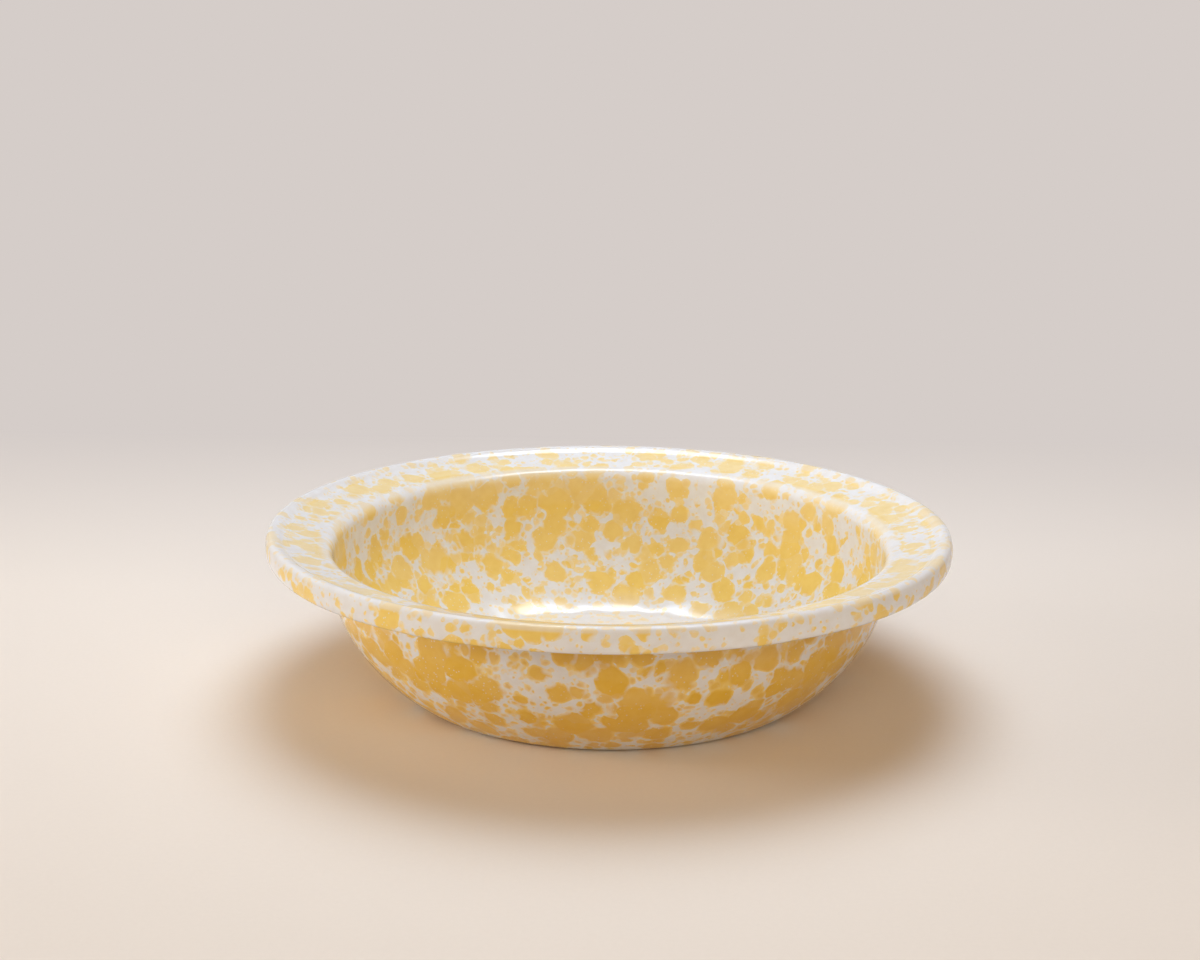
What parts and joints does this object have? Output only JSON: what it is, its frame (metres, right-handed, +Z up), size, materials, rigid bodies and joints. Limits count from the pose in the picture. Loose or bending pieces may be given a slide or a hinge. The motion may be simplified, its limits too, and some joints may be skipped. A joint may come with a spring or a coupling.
{
  "type": "rimmed serving bowl",
  "caption": "Round enamelled steel serving bowl with a flat floor, curved wall, wide sloping flange and a rolled bead rim, finished in white enamel with yellow splatter.",
  "frame": {"origin": "middle of the flat underside, on the surface that the bowl stands on", "axes": "+Z up along the bowl's axis, out of its mouth; X and Y are free, because the bowl is round"},
  "size_m": [0.3002, 0.3002, 0.0726],
  "materials": {
    "steel": "cold-rolled sheet, pickled grey under the enamel",
    "ground_enamel": "dark fired ground coat, satin",
    "splatter_enamel": "glossy white cover enamel with round golden yellow drops",
    "rim_enamel": "glossy white cover enamel with few pale yellow drops"
  },
  "bodies": {
    "root": {"steel_shell": "steel", "inner_ground_coat": "ground_enamel", "outer_ground_coat": "ground_enamel", "interior_cover_coat": "splatter_enamel", "rim_cover_coat": "rim_enamel", "exterior_cover_coat": "splatter_enamel"}
  },
  "joints": []
}
